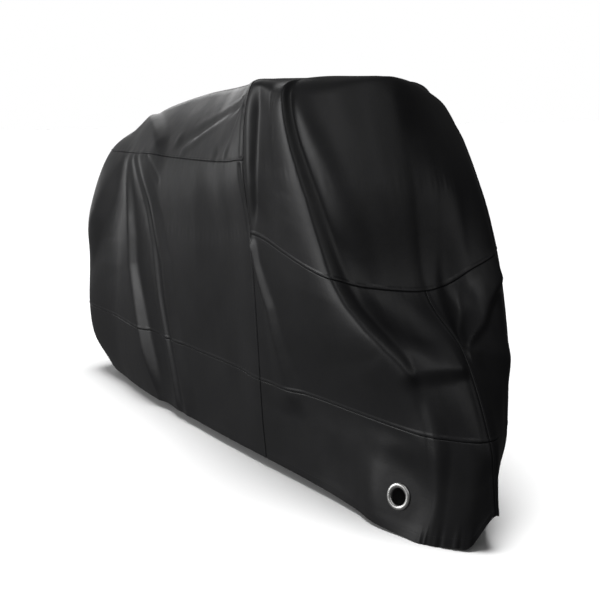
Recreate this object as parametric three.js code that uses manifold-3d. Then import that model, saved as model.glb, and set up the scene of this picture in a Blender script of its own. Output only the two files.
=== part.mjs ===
// A fitted motorcycle cover of coated polyester, standing as it drapes.
// Millimetres. +X is the front of the cover, +Y its left, +Z up, and the floor is z = 0.
// The cloth is one draped skin, cut along its seams into the panels that are sewn together,
// with a metal eyelet set in each front skirt panel.

import * as THREE from 'three';
import Module from 'manifold-3d';

const wasm = await Module();
wasm.setup();

// Driving dimensions
const CLOTH = 2;                  // thickness of the coated cloth with its backing
const SEAM_GAP = 0.5;             // between the cut edges of two panels
const STEP_ALONG = 50;            // longest facet along the cloth
const STEP_DOWN = 62;             // longest facet down the cloth

// Seams, in millimetres down from the crown or along from the rear centre line
const SEAM_UPPER = 520;           // under the rear top panel
const SEAM_HOOD = 760;            // under the hood
const SEAM_SKIRT = 1180;          // over the skirt
const HEM = 1450;
const SEAM_MIDDLE = 1860;         // the upright seam between rear and front panels
const FRONT_CENTRE = 2720;

// Heights down the cloth at which each line below gives its places
const DOWN = [0, 200, 300, SEAM_UPPER, SEAM_HOOD, 960, SEAM_SKIRT, 1330, HEM];

// Each row is one line down the cloth, at a distance along it from the rear centre line.
// x, y and z give its places at the crown, top edge, shoulder, upper seam, hood seam, knee, skirt
// seam, low skirt and hem. y is the distance out from the middle plane.
const LINES = [
  { at: 0, x: [-930, -1020, -1065, -1162, -1206, -1226, -1228, -1220, -1160],
    y: [0, 0, 0, 0, 0, 0, 0, 0, 0],
    z: [1094, 1074, 1048, 936, 700, 500, 290, 150, 20] },
  { at: 220, x: [-900, -990, -1034, -1134, -1185, -1204, -1208, -1198, -1136],
    y: [0, 74, 110, 178, 198, 207, 212, 206, 184],
    z: [1099, 1080, 1052, 938, 700, 500, 290, 150, 25] },
  { at: 450, x: [-860, -944, -986, -1072, -1119, -1138, -1140, -1124, -1055],
    y: [0, 123, 185, 318, 402, 416, 414, 398, 340],
    z: [1114, 1086, 1051, 940, 700, 500, 290, 150, 30] },
  { at: 740, x: [-780, -790, -795, -800, -800, -800, -800, -800, -800],
    y: [0, 127, 190, 320, 365, 377, 383, 372, 345],
    z: [1144, 1128, 1098, 945, 700, 500, 290, 150, 30] },
  { at: 1050, x: [-450, -450, -450, -450, -450, -450, -450, -450, -450],
    y: [0, 112, 170, 312, 338, 349, 354, 348, 337],
    z: [1186, 1176, 1150, 950, 700, 500, 290, 150, 30] },
  { at: 1400, x: [-100, -100, -100, -100, -100, -100, -100, -100, -100],
    y: [0, 128, 190, 310, 318, 320, 318, 317, 315],
    z: [1205, 1200, 1176, 955, 700, 500, 290, 150, 30] },
  { at: 1680, x: [180, 180, 180, 180, 180, 180, 180, 180, 180],
    y: [0, 176, 250, 320, 305, 296, 287, 286, 285],
    z: [1212, 1212, 1192, 965, 730, 500, 290, 150, 30] },
  { at: SEAM_MIDDLE, x: [360, 360, 360, 360, 360, 360, 360, 360, 360],
    y: [0, 225, 305, 335, 312, 295, 283, 274, 262],
    z: [1220, 1222, 1202, 980, 755, 500, 290, 150, 30] },
  { at: 2060, x: [440, 455, 470, 500, 540, 590, 630, 636, 640],
    y: [0, 210, 285, 305, 285, 255, 215, 216, 222],
    z: [1224, 1220, 1182, 965, 722, 500, 290, 150, 24] },
  { at: 2260, x: [500, 525, 550, 620, 760, 930, 1018, 1036, 1044],
    y: [0, 180, 245, 250, 215, 180, 146, 158, 171],
    z: [1228, 1222, 1168, 940, 664, 500, 290, 150, 3.2] },
  { at: 2420, x: [560, 590, 620, 720, 820, 1000, 1105, 1108, 1108],
    y: [0, 134, 180, 170, 135, 125, 106, 116, 136],
    z: [1230, 1216, 1160, 930, 645, 500, 290, 150, 1.2] },
  { at: 2580, x: [600, 632, 660, 765, 850, 1040, 1165, 1172, 1175],
    y: [0, 68, 90, 85, 65, 60, 58, 70, 88],
    z: [1229, 1217, 1160, 930, 638, 500, 290, 150, 9] },
  { at: 2660, x: [618, 650, 678, 776, 862, 1052, 1184, 1200, 1200],
    y: [0, 30, 40, 42, 30, 28, 30, 42, 56],
    z: [1228, 1217, 1160, 930, 636, 500, 290, 160, 16] },
  { at: FRONT_CENTRE, x: [625, 655, 685, 780, 865, 1055, 1188, 1210, 1226],
    y: [0, 0, 0, 0, 0, 0, 0, 0, 0],
    z: [1228, 1217, 1160, 930, 636, 500, 290, 195, 100] },
];

// The left side stands further out round the front, and its hem is drawn in: these rows replace the
// right side's at the same places along.
const LEFT_FRONT_LINES = [
  { at: SEAM_MIDDLE, x: [360, 360, 360, 360, 360, 360, 360, 360, 360],
    y: [0, 222, 300, 332, 312, 295, 283, 274, 262],
    z: [1220, 1216, 1192, 978, 755, 500, 290, 150, 30] },
  { at: 2060, x: [440, 455, 470, 600, 720, 800, 850, 852, 850],
    y: [0, 206, 282, 277, 270, 262, 202, 180, 155],
    z: [1224, 1188, 1140, 950, 745, 500, 290, 150, 20] },
  { at: 2260, x: [500, 525, 550, 740, 870, 980, 1060, 1060, 1050],
    y: [0, 191, 263, 241, 230, 198, 146, 130, 112],
    z: [1228, 1190, 1136, 950, 728, 510, 290, 150, 30] },
  { at: 2420, x: [560, 590, 620, 790, 890, 1030, 1120, 1116, 1100],
    y: [0, 128, 168, 152, 134, 134, 96, 86, 75],
    z: [1230, 1206, 1146, 930, 690, 500, 290, 160, 50] },
  { at: 2580, x: [600, 632, 660, 790, 875, 1045, 1165, 1175, 1180],
    y: [0, 66, 88, 80, 62, 56, 48, 40, 32],
    z: [1229, 1214, 1158, 930, 652, 500, 290, 180, 84] },
  { at: 2660, x: [618, 650, 678, 784, 870, 1052, 1184, 1204, 1218],
    y: [0, 28, 38, 38, 28, 24, 22, 18, 14],
    z: [1228, 1217, 1160, 930, 640, 500, 290, 190, 94] },
];

// Each row is one fold. It rises to its height over the half width before its path, on the left of
// its way, and falls over the half width after it: each is given for the path's start and its end.
// The path is a list of [along, down] places, and a height below zero is a trough.
const FOLDS = [
  // Right rear side panel
  { side: 'right', height: 13, before: [30, 90], after: [14, 190],
    path: [[670, 528], [560, 600], [440, 710], [380, 880]] },
  { side: 'right', height: 20, before: [40, 280], after: [26, 44],
    path: [[735, 522], [800, 640], [830, 840], [870, 960], [945, 1080], [1005, 1182], [1085, 1450]] },
  { side: 'right', height: 8, before: [24, 50], after: [15, 28],
    path: [[800, 526], [858, 630], [893, 702], [976, 820], [1058, 948], [1104, 1040], [1200, 1255],
      [1245, 1450]] },
  { side: 'right', height: 12, before: [20, 46], after: [44, 70],
    path: [[836, 522], [930, 600], [982, 696], [1066, 810], [1140, 948], [1190, 1040], [1290, 1255],
      [1330, 1450]] },
  { side: 'right', height: -5, before: [120, 200], after: [120, 200],
    path: [[1500, 540], [1600, 1150]] },
  // Right rear top panel
  { side: 'right', height: 15, before: [70, 170], after: [16, 40],
    path: [[606, 282], [912, 432], [1032, 508]] },
  { side: 'right', height: -6, before: [30, 30], after: [30, 30],
    path: [[640, 215], [930, 395]] },
  { side: 'right', height: -5, before: [22, 30], after: [22, 30],
    path: [[942, 432], [1128, 500]] },
  { side: 'right', height: -8, before: [14, 46], after: [14, 46],
    path: [[1800, 345], [1440, 400], [1150, 468]] },
  { side: 'right', height: -5, before: [10, 30], after: [10, 30],
    path: [[1805, 350], [1680, 440], [1560, 508]] },
  // Right hood
  { side: 'right', height: -17, before: [22, 12], after: [44, 24],
    path: [[1895, 312], [1915, 420], [1912, 510], [1908, 600], [1882, 752]] },
  { side: 'right', height: 38, before: [110, 230], after: [44, 64],
    path: [[2140, 285], [2214, 350], [2232, 420], [2240, 520], [2243, 640], [2232, 762], [2214, 850],
      [2212, 910], [2226, 970], [2262, 1030], [2320, 1052]] },
  { side: 'right', height: 9, before: [50, 110], after: [60, 90],
    path: [[2268, 306], [2335, 430], [2352, 510], [2385, 620], [2430, 735]] },
  // Right front side panel
  { side: 'right', height: 12, before: [12, 60], after: [24, 40],
    path: [[1863, 775], [1884, 835], [1940, 930], [1962, 1080], [1978, 1240]] },
  { side: 'right', height: -9, before: [100, 80], after: [100, 80],
    path: [[2335, 815], [2450, 840], [2600, 900]] },
  { side: 'right', height: 15, before: [60, 40], after: [60, 46],
    path: [[2300, 1034], [2484, 1026], [2640, 1012], [2706, 1000]] },
  // Right front skirt
  { side: 'right', height: 5, before: [70, 80], after: [70, 90],
    path: [[2330, 1230], [2330, 1450]] },
  // Left side
  { side: 'left', height: 8, before: [30, 90], after: [14, 190],
    path: [[690, 528], [560, 620], [430, 760], [380, 900]] },
  { side: 'left', height: 11, before: [40, 230], after: [24, 52],
    path: [[790, 528], [850, 700], [960, 960], [1080, 1450]] },
  { side: 'left', height: 9, before: [22, 60], after: [34, 66],
    path: [[860, 528], [1010, 760], [1120, 1000], [1230, 1450]] },
  { side: 'left', height: -6, before: [120, 200], after: [120, 200],
    path: [[1500, 540], [1420, 1150]] },
  { side: 'left', height: -8, before: [14, 46], after: [14, 46],
    path: [[1800, 345], [1500, 410], [1240, 490]] },
  { side: 'left', height: 11, before: [60, 150], after: [16, 40],
    path: [[640, 290], [900, 430], [1000, 508]] },
  { side: 'left', height: -20, before: [26, 16], after: [48, 28],
    path: [[1910, 315], [1925, 520], [1895, 750]] },
  { side: 'left', height: 8, before: [70, 120], after: [22, 34],
    path: [[2130, 290], [2210, 420], [2225, 640], [2200, 900], [2230, 1080]] },
  { side: 'left', height: 8, before: [12, 40], after: [30, 50],
    path: [[1864, 775], [1950, 960], [1990, 1240]] },
  { side: 'left', height: -26, before: [130, 34], after: [130, 24],
    path: [[2470, 768], [2575, 850], [2690, 942]] },
  { side: 'left', height: 14, before: [46, 18], after: [90, 24],
    path: [[2240, 805], [2346, 852], [2454, 890], [2692, 944]] },
  { side: 'left', height: 8, before: [60, 26], after: [60, 16],
    path: [[2230, 1022], [2340, 1002], [2440, 982], [2692, 958]] },
  { side: 'left', height: -10, before: [50, 60], after: [46, 50],
    path: [[2100, 1230], [2104, 1450]] },
  { side: 'left', height: 10, before: [70, 80], after: [70, 90],
    path: [[2250, 1230], [2250, 1450]] },
];
const END_OUT = 0.6;              // how far a fold runs on past its ends, as a share of its half width
const LEAST_HALF = 42;            // narrower flanks are drawn this wide, to suit the facets

// Eyelets: one through each front skirt panel, for a lock
const EYELET_DOWN = 1370;
// Where each sits along the cloth, with half the flat stretch of cloth that it needs there
const EYELETS = { right: { at: 2236, half: 25 }, left: { at: 2165, half: 44 } };
const EYELET_HOLE = 24;           // inner radius of the ring
const EYELET_RIM = 38;            // outer radius of the ring
const EYELET_WALL = 1.5;          // barrel through the cloth
const EYELET_PLAY = 0.4;          // from the metal to the cloth
const EYELET_CROWN = 5;           // how far the rolled rim stands off the cloth
const EYELET_YAW = 14;            // degrees the cloth turns to the front round the eyelet
const EYELET_PITCH = 5;           // degrees it turns up
const EYELET_SINK = 9;            // how far it is drawn in there
const EYELET_SIDES = 32;
const FLAT_HALF = 41;             // half the height of the flat cloth round the eyelet
const FLAT_RADIUS = 58;           // the cloth is flat as far as this from the eyelet
const FLAT_FADE = 190;            // and back to its draped form here

const CLOTH_COLOUR = 0x232325;
const EYELET_COLOUR = 0xc9cacc;

const clothMaterial = () =>
  new THREE.MeshStandardMaterial({ color: CLOTH_COLOUR, roughness: 0.42, metalness: 0 });
const metalMaterial = () =>
  new THREE.MeshStandardMaterial({ color: EYELET_COLOUR, roughness: 0.18, metalness: 1 });

const smooth = (t) => t * t * (3 - 2 * t);
const ramp = (value, start, end) => smooth(THREE.MathUtils.clamp((value - start) / (end - start), 0, 1));

// The slope at each knot of a curve, from its neighbours
function slopes(knots, points) {
  const last = knots.length - 1;
  return points.map((_, i) => {
    const a = Math.max(i - 1, 0);
    const b = Math.min(i + 1, last);
    return points[b].clone().sub(points[a]).divideScalar(knots[b] - knots[a]);
  });
}

// A point on the curve through the given points, at a value between its knots
function onCurve(knots, points, tangents, value) {
  let i = 0;
  while (i < knots.length - 2 && value >= knots[i + 1]) i += 1;
  const span = knots[i + 1] - knots[i];
  const s = (value - knots[i]) / span;
  const s2 = s * s;
  const s3 = s2 * s;
  return new THREE.Vector3()
    .addScaledVector(points[i], 2 * s3 - 3 * s2 + 1)
    .addScaledVector(tangents[i], span * (s3 - 2 * s2 + s))
    .addScaledVector(points[i + 1], 3 * s2 - 2 * s3)
    .addScaledVector(tangents[i + 1], span * (s3 - s2));
}

// The lines of one side, as a curve along the cloth for each height down it
function sideCurves(side) {
  const out = side === 'left' ? 1 : -1;
  const rows = LINES.map((row) => {
    const own = side === 'left' && LEFT_FRONT_LINES.find((other) => other.at === row.at);
    return own || row;
  });
  const knots = rows.map((row) => row.at);
  return DOWN.map((_, level) => {
    const points = rows.map((row) => new THREE.Vector3(row.x[level], out * row.y[level], row.z[level]));
    const tangents = slopes(knots, points);
    // The cloth crosses the middle plane square to it
    for (const tangent of [tangents[0], tangents[knots.length - 1]]) {
      tangent.x = 0;
      tangent.z = 0;
    }
    return { knots, points, tangents };
  });
}

const SIDES = { left: sideCurves('left'), right: sideCurves('right') };
const CROWN_SLOPE = 0.25;         // how much of its fall the cloth keeps where it crosses the crown

// The draped form without its folds
function drape(side, along, down) {
  const points = SIDES[side].map((curve) => onCurve(curve.knots, curve.points, curve.tangents, along));
  const tangents = slopes(DOWN, points);
  tangents[0].z *= CROWN_SLOPE;
  return onCurve(DOWN, points, tangents, down);
}

// The outward normal of a surface, where place(along, down) gives its points
function normalOf(place, side, along, down) {
  const reach = 4;
  const a0 = Math.max(along - reach, 0);
  const a1 = Math.min(along + reach, FRONT_CENTRE);
  const d0 = Math.max(down - reach, 0);
  const d1 = Math.min(down + reach, HEM);
  const forward = place(side, a1, down).sub(place(side, a0, down));
  const downward = place(side, along, d1).sub(place(side, along, d0));
  const normal = side === 'left' ? forward.cross(downward) : downward.cross(forward);
  if (along === 0 || along === FRONT_CENTRE || down === 0) normal.y = 0;
  return normal.normalize();
}

// The nearest place on a fold's path: how far off it is, on which hand, and its share of the length
function nearestOnPath(path, along, down) {
  const total = lengthOf(path);
  let best = { apart: Infinity };
  let before = 0;
  for (let i = 1; i < path.length; i += 1) {
    const runAlong = path[i][0] - path[i - 1][0];
    const runDown = path[i][1] - path[i - 1][1];
    const length = Math.hypot(runAlong, runDown);
    const offAlong = along - path[i - 1][0];
    const offDown = down - path[i - 1][1];
    // The first and last stretches go on past their ends
    const least = i === 1 ? -Infinity : 0;
    const most = i === path.length - 1 ? Infinity : 1;
    const t = THREE.MathUtils.clamp((offAlong * runAlong + offDown * runDown) / length ** 2, least, most);
    const apart = Math.hypot(offAlong - t * runAlong, offDown - t * runDown);
    if (apart < best.apart) {
      const hand = (runAlong * offDown - runDown * offAlong) / length;
      best = { apart, hand, share: (before + t * length) / total, total };
    }
    before += length;
  }
  return best;
}

function lengthOf(path) {
  return path.slice(1).reduce((sum, place, i) =>
    sum + Math.hypot(place[0] - path[i][0], place[1] - path[i][1]), 0);
}

// How far one fold lifts the cloth at a place: full along its path, nothing beyond its half widths
function foldLift(fold, along, down) {
  const { apart, hand, share, total } = nearestOnPath(fold.path, along, down);
  const [before, after] = [fold.before, fold.after].map(([start, end]) =>
    Math.max(THREE.MathUtils.lerp(start, end, THREE.MathUtils.clamp(share, 0, 1)), LEAST_HALF));
  const reach = apart / (hand > 0 ? before : after);
  if (reach >= 1) return 0;
  const fade = (before + after) / 2 / total;
  const ends = ramp(share / fade, -END_OUT, 1) * (1 - ramp((share - 1) / fade, -1, END_OUT));
  return fold.height * ends * (1 - smooth(reach));
}

const EDGE_FADE = 90;             // folds die out this close to the crown and the centre lines

function lift(side, along, down) {
  const edges = ramp(down, 0, EDGE_FADE) * ramp(along, 0, EDGE_FADE)
    * (1 - ramp(along, FRONT_CENTRE - EDGE_FADE / 3, FRONT_CENTRE));
  let sum = 0;
  for (const fold of FOLDS) {
    if (fold.side === side) sum += foldLift(fold, along, down);
  }
  return sum * edges;
}

function folded(side, along, down) {
  const height = lift(side, along, down);
  const place = drape(side, along, down);
  if (height === 0) return place;
  return place.addScaledVector(normalOf(drape, side, along, down), height);
}

// The flat seat of each eyelet: its centre, its normal and the way the cloth faced before
const SEATS = Object.fromEntries(['left', 'right'].map((side) => {
  const faced = normalOf(drape, side, EYELETS[side].at, EYELET_DOWN);
  const centre = drape(side, EYELETS[side].at, EYELET_DOWN).addScaledVector(faced, -EYELET_SINK);
  const turn = side === 'left' ? -1 : 1;
  const normal = faced.clone()
    .applyAxisAngle(new THREE.Vector3(0, 0, 1), turn * THREE.MathUtils.degToRad(EYELET_YAW));
  const level = new THREE.Vector3(normal.y, -normal.x, 0).normalize();
  normal.applyAxisAngle(level, THREE.MathUtils.degToRad(EYELET_PITCH));
  return [side, { centre, faced, normal }];
}));

// The skin of the cover: draped, folded, and flat round the eyelet
function skin(side, along, down) {
  const place = folded(side, along, down);
  const seat = SEATS[side];
  const apart = place.distanceTo(seat.centre);
  if (apart >= FLAT_FADE) return place;
  const share = 1 - ramp(apart, FLAT_RADIUS, FLAT_FADE);
  const depth = seat.centre.clone().sub(place).dot(seat.normal) / seat.faced.dot(seat.normal);
  return place.addScaledVector(seat.faced, depth * share);
}

// Stations between two ends, no further apart than a step, with the fixed ones kept
function stations(fixed, step) {
  const values = [];
  fixed.slice(1).forEach((end, i) => {
    const start = fixed[i];
    const count = Math.ceil((end - start) / step);
    for (let k = 0; k < count; k += 1) values.push(start + ((end - start) * k) / count);
  });
  values.push(fixed[fixed.length - 1]);
  return values;
}

const EYELET_ENDS = Object.values(EYELETS).flatMap(({ at, half }) => [at - half, at + half]);
const ALONG = stations(
  [...new Set([0, 450, 740, 1050, 1400, SEAM_MIDDLE, 2060, ...EYELET_ENDS, FRONT_CENTRE])]
    .sort((a, b) => a - b),
  STEP_ALONG,
);
const DOWNWARD = stations(
  [0, 300, SEAM_UPPER, SEAM_HOOD, 960, SEAM_SKIRT, EYELET_DOWN - FLAT_HALF, EYELET_DOWN + FLAT_HALF, HEM],
  STEP_DOWN,
);

// The part of a list of stations that one panel covers. draw says which way a cut edge is drawn back
// from its seam: 1 at the start, -1 at the end, 0 inside the panel or at an edge with no seam.
function between(values, start, end, seamAtStart, seamAtEnd) {
  return values.filter((value) => value >= start && value <= end).map((value) => {
    let draw = 0;
    if (value === start && seamAtStart) draw = 1;
    if (value === end && seamAtEnd) draw = -1;
    return { value, draw };
  });
}

// Columns run round the panel so that every face looks outwards; each names its side and place along
const columnsOf = (side, values) => values.map(({ value, draw }) => ({ side, along: value, draw }));

// A place on the skin, drawn back from its seams within the skin, with the outward normal there
function cutPlace(side, along, down, drawAlong, drawDown) {
  const place = skin(side, along, down);
  const normal = normalOf(skin, side, along, down);
  if (drawAlong !== 0) {
    const across = tangentOf(side, along, down, 0, 1).cross(normal);
    const forward = tangentOf(side, along, down, 1, 0);
    place.addScaledVector(across, Math.sign(across.dot(forward)) * drawAlong * SEAM_GAP / 2);
  }
  if (drawDown !== 0) {
    const across = tangentOf(side, along, down, 1, 0).cross(normal);
    const downward = tangentOf(side, along, down, 0, 1);
    place.addScaledVector(across, Math.sign(across.dot(downward)) * drawDown * SEAM_GAP / 2);
  }
  return { place, normal };
}

// The direction of the skin along the cloth, down it, or between
function tangentOf(side, along, down, goAlong, goDown) {
  const reach = 4;
  const a0 = Math.max(along - reach * goAlong, 0);
  const a1 = Math.min(along + reach * goAlong, FRONT_CENTRE);
  const d0 = Math.max(down - reach * goDown, 0);
  const d1 = Math.min(down + reach * goDown, HEM);
  const tangent = skin(side, a1, d1).sub(skin(side, a0, d0));
  if (goAlong === 0 && (along === 0 || along === FRONT_CENTRE)) tangent.y = 0;
  return tangent.normalize();
}

const DIAGONAL_ORDER = new THREE.Vector3(1, 0.4, 0.2);

// A closed sheet of the cloth's thickness over a grid of columns and rows
function sheet(columns, rows) {
  const outer = [];
  const inner = [];
  const index = new Map();
  const grid = columns.map(({ side, along, draw }) => rows.map((row) => {
    const { place, normal } = cutPlace(side, along, row.value, draw, row.draw);
    const key = [place.x, place.y, place.z].map((v) => v.toFixed(3)).join();
    if (!index.has(key)) {
      index.set(key, outer.length);
      outer.push(place);
      inner.push(place.clone().addScaledVector(normal, -CLOTH));
    }
    return index.get(key);
  }));
  const faces = [];
  const keep = (a, b, c) => {
    if (a !== b && b !== c && c !== a) faces.push([a, b, c]);
  };
  for (let c = 0; c < columns.length - 1; c += 1) {
    for (let r = 0; r < rows.length - 1; r += 1) {
      keep(grid[c][r], grid[c + 1][r], grid[c + 1][r + 1]);
      keep(grid[c][r], grid[c + 1][r + 1], grid[c][r + 1]);
    }
  }
  const count = outer.length;
  const edges = new Set(faces.flatMap(([a, b, c]) => [`${a}_${b}`, `${b}_${c}`, `${c}_${a}`]));
  const triangles = faces.flatMap(([a, b, c]) => [[a, b, c], [a + count, c + count, b + count]]);
  // Both panels at a seam split the strips of their cut edges along the same diagonal
  for (const edge of edges) {
    const [a, b] = edge.split('_').map(Number);
    if (edges.has(`${b}_${a}`)) continue;
    if (outer[a].dot(DIAGONAL_ORDER) < outer[b].dot(DIAGONAL_ORDER)) {
      triangles.push([b, a, a + count], [b, a + count, b + count]);
    } else {
      triangles.push([b, a, b + count], [a, a + count, b + count]);
    }
  }
  return solidGeometry([...outer, ...inner], triangles);
}

function solidGeometry(points, triangles) {
  const geometry = new THREE.BufferGeometry();
  geometry.setAttribute('position', new THREE.Float32BufferAttribute(points.flatMap((p) => p.toArray()), 3));
  geometry.setIndex(triangles.flat());
  geometry.computeVertexNormals();
  return geometry;
}

// A shared-vertex geometry as a solid that can be cut, and back
function toSolid(geometry) {
  return new wasm.Manifold(new wasm.Mesh({
    numProp: 3,
    vertProperties: new Float32Array(geometry.attributes.position.array),
    triVerts: new Uint32Array(geometry.index.array),
  }));
}

function fromSolid(solid) {
  const mesh = solid.getMesh();
  const geometry = new THREE.BufferGeometry();
  geometry.setAttribute('position', new THREE.Float32BufferAttribute(mesh.vertProperties, 3));
  geometry.setIndex(Array.from(mesh.triVerts));
  geometry.computeVertexNormals();
  return geometry;
}

// Turns the Y axis of a round solid onto a seat's normal and moves it to the seat's centre, half the
// cloth's thickness in
function seatMatrix(seat) {
  const turn = new THREE.Quaternion().setFromUnitVectors(new THREE.Vector3(0, 1, 0), seat.normal);
  const depth = CLOTH / 2;
  const place = seat.centre.clone().addScaledVector(seat.normal, -depth);
  return new THREE.Matrix4().compose(place, turn, new THREE.Vector3(1, 1, 1));
}

// The round hole that the eyelet's barrel passes through
function eyeletHole(seat) {
  const radius = EYELET_HOLE + EYELET_WALL + EYELET_PLAY;
  const depth = CLOTH * 10;
  const points = [];
  const triangles = [];
  for (let i = 0; i < EYELET_SIDES; i += 1) {
    const angle = (2 * Math.PI * i) / EYELET_SIDES;
    const j = (i + 1) % EYELET_SIDES;
    points.push(new THREE.Vector3(radius * Math.cos(angle), depth / 2, radius * Math.sin(angle)));
    triangles.push([i, j, EYELET_SIDES + j], [i, EYELET_SIDES + j, EYELET_SIDES + i]);
    triangles.push([2 * EYELET_SIDES, j, i], [2 * EYELET_SIDES + 1, EYELET_SIDES + i, EYELET_SIDES + j]);
  }
  points.push(...points.map((p) => new THREE.Vector3(p.x, -depth / 2, p.z)));
  points.push(new THREE.Vector3(0, depth / 2, 0), new THREE.Vector3(0, -depth / 2, 0));
  return solidGeometry(points, triangles).applyMatrix4(seatMatrix(seat));
}

// A rolled ring, gripping the cloth between its two rims
function eyeletRing() {
  const barrel = EYELET_HOLE + EYELET_WALL;
  const grip = CLOTH / 2 + EYELET_PLAY;
  const middle = (EYELET_HOLE + EYELET_RIM) / 2;
  const reach = (EYELET_RIM - EYELET_HOLE) / 2;
  const arc = [];
  const steps = 4;
  for (let i = 0; i <= steps; i += 1) {
    const angle = (Math.PI * i) / steps;
    arc.push([middle + reach * Math.cos(angle), grip + EYELET_WALL + EYELET_CROWN * Math.sin(angle) * 0.7]);
  }
  const top = [[barrel, grip], [EYELET_RIM - 0.6, grip], ...arc];
  const profile = [...top, ...top.map(([r, y]) => [r, -y]).reverse()];
  const points = [...profile, profile[0]].map(([r, y]) => new THREE.Vector2(r, y));
  return new THREE.LatheGeometry(points, EYELET_SIDES);
}

const group = new THREE.Group();

function add(name, geometry, material) {
  const mesh = new THREE.Mesh(geometry, material);
  mesh.name = name;
  group.add(mesh);
  return mesh;
}

// The rear top panel and the hood each lie over both sides
const rearAlong = between(ALONG, 0, SEAM_MIDDLE, false, true);
add('rear_top_panel', sheet(
  [...columnsOf('right', rearAlong).reverse(), ...columnsOf('left', rearAlong).slice(1)],
  between(DOWNWARD, 0, SEAM_UPPER, false, true),
), clothMaterial());

const hoodAlong = between(ALONG, SEAM_MIDDLE, FRONT_CENTRE, true, false);
add('hood_panel', sheet(
  [...columnsOf('left', hoodAlong), ...columnsOf('right', hoodAlong).reverse().slice(1)],
  between(DOWNWARD, 0, SEAM_HOOD, false, true),
), clothMaterial());

// The panels of one side, by where they start and end along and down
const SIDE_PANELS = [
  { name: 'rear_side', along: [0, SEAM_MIDDLE], down: [SEAM_UPPER, SEAM_SKIRT], lastEdge: true },
  { name: 'front_side', along: [SEAM_MIDDLE, FRONT_CENTRE], down: [SEAM_HOOD, SEAM_SKIRT], lastEdge: true },
  { name: 'skirt_rear', along: [0, SEAM_MIDDLE], down: [SEAM_SKIRT, HEM], lastEdge: false },
  { name: 'skirt_front', along: [SEAM_MIDDLE, FRONT_CENTRE], down: [SEAM_SKIRT, HEM], lastEdge: false,
    eyelet: true },
];

for (const side of ['right', 'left']) {
  for (const panel of SIDE_PANELS) {
    const columns = columnsOf(side, between(ALONG, ...panel.along, true, true));
    if (side === 'right') columns.reverse();
    let geometry = sheet(columns, between(DOWNWARD, ...panel.down, true, panel.lastEdge));
    if (panel.eyelet) {
      geometry = fromSolid(toSolid(geometry).subtract(toSolid(eyeletHole(SEATS[side]))));
    }
    add(`${panel.name}_${side}`, geometry, clothMaterial());
  }
  const ring = add(`eyelet_${side}`, eyeletRing(), metalMaterial());
  seatMatrix(SEATS[side]).decompose(ring.position, ring.quaternion, ring.scale);
}

export default group;
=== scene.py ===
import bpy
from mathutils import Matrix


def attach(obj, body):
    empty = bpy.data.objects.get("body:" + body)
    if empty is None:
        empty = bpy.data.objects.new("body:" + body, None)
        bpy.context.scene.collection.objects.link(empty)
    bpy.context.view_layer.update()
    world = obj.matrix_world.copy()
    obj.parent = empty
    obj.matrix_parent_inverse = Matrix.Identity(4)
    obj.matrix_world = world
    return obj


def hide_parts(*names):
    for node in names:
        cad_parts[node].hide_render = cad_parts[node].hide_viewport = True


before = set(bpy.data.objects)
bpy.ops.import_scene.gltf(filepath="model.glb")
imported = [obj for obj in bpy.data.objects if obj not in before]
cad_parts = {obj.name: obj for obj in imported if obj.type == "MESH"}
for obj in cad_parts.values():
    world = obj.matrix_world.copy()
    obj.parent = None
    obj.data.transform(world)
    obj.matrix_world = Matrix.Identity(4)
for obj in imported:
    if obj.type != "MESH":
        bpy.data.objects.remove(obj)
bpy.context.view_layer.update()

"""A fitted motorcycle cover of black coated polyester, standing as it drapes.

Every panel is one thin sheet on the folds of its solid, cut along the sewn seams, with its seam laps,
turned hem and stitching. Sizes are in millimetres until a mesh is made, and +X is the cover's front.
"""

import logging
import math
from dataclasses import dataclass, field, replace
from enum import Enum
from typing import Callable

import bmesh
import bpy
import numpy as np
from mathutils import Matrix, Vector

LOG = logging.getLogger("cover")
METRES = 0.001
TINY = 1e-9

# Places of the seams in millimetres, down from the crown or along from the rear centre line
SEAM_UPPER = 520.0
SEAM_HOOD = 760.0
SEAM_SKIRT = 1180.0
HEM = 1450.0
SEAM_MIDDLE = 1860.0
FRONT_CENTRE = 2720.0
DOWN = (0.0, 200.0, 300.0, SEAM_UPPER, SEAM_HOOD, 960.0, SEAM_SKIRT, 1330.0, HEM)


class Side(Enum):
    """The two sides of the cover, with the sign of their Y."""

    RIGHT = -1
    LEFT = 1


@dataclass(frozen=True)
class Line:
    """One line down the cloth: its place along, and x, y out and z at each height in DOWN."""

    at: float
    x: tuple[float, ...]
    y: tuple[float, ...]
    z: tuple[float, ...]


@dataclass(frozen=True)
class Fold:
    """One fold of the cloth.

    The path is a list of (along, down) points. A fold rises to its height over the half width
    before its path, on the left of its way, and falls over the half width after it; each half has
    a value for the path's start and its end, and the height may have two. Softness 0 has straight
    flanks, 1 a round bell.
    """

    side: Side
    path: tuple[tuple[float, float], ...]
    height: float | tuple[float, float]
    before: tuple[float, float]
    after: tuple[float, float]
    softness: float = 0.0

    @property
    def heights(self) -> tuple[float, float]:
        """The height at the start of the path and at its end."""
        return self.height if isinstance(self.height, tuple) else (self.height, self.height)


@dataclass(frozen=True)
class Patch:
    """A grid of places on one side's cloth: n of them along by m of them down."""

    side: Side
    along: np.ndarray
    down: np.ndarray


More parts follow.
